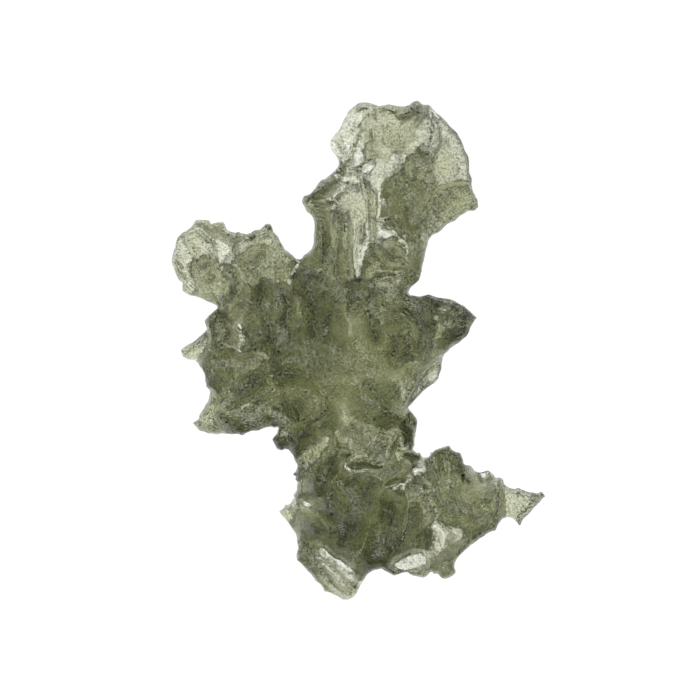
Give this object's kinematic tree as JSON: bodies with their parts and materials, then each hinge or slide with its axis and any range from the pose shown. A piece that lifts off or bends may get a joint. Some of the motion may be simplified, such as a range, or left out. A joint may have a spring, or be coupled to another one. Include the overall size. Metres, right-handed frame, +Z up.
{
  "type": "moldavite",
  "caption": "Flat ragged piece of natural green glass with lobes, thin shards and a pitted, ridged skin, lying on a small flat spot.",
  "frame": {"origin": "middle of the stone's box, at the level of the surface that it lies on", "axes": "+Y along the length, towards the crown lobe with the thin fin; +X across, towards the side with the wedge and the arm; +Z up, out of the broad pitted side"},
  "size_m": [0.0298, 0.0399, 0.0088],
  "materials": {
    "moldavite_glass": "frosted, etched olive-green natural glass, see-through where it is thin"
  },
  "bodies": {
    "root": {"moldavite": "moldavite_glass"}
  },
  "joints": []
}
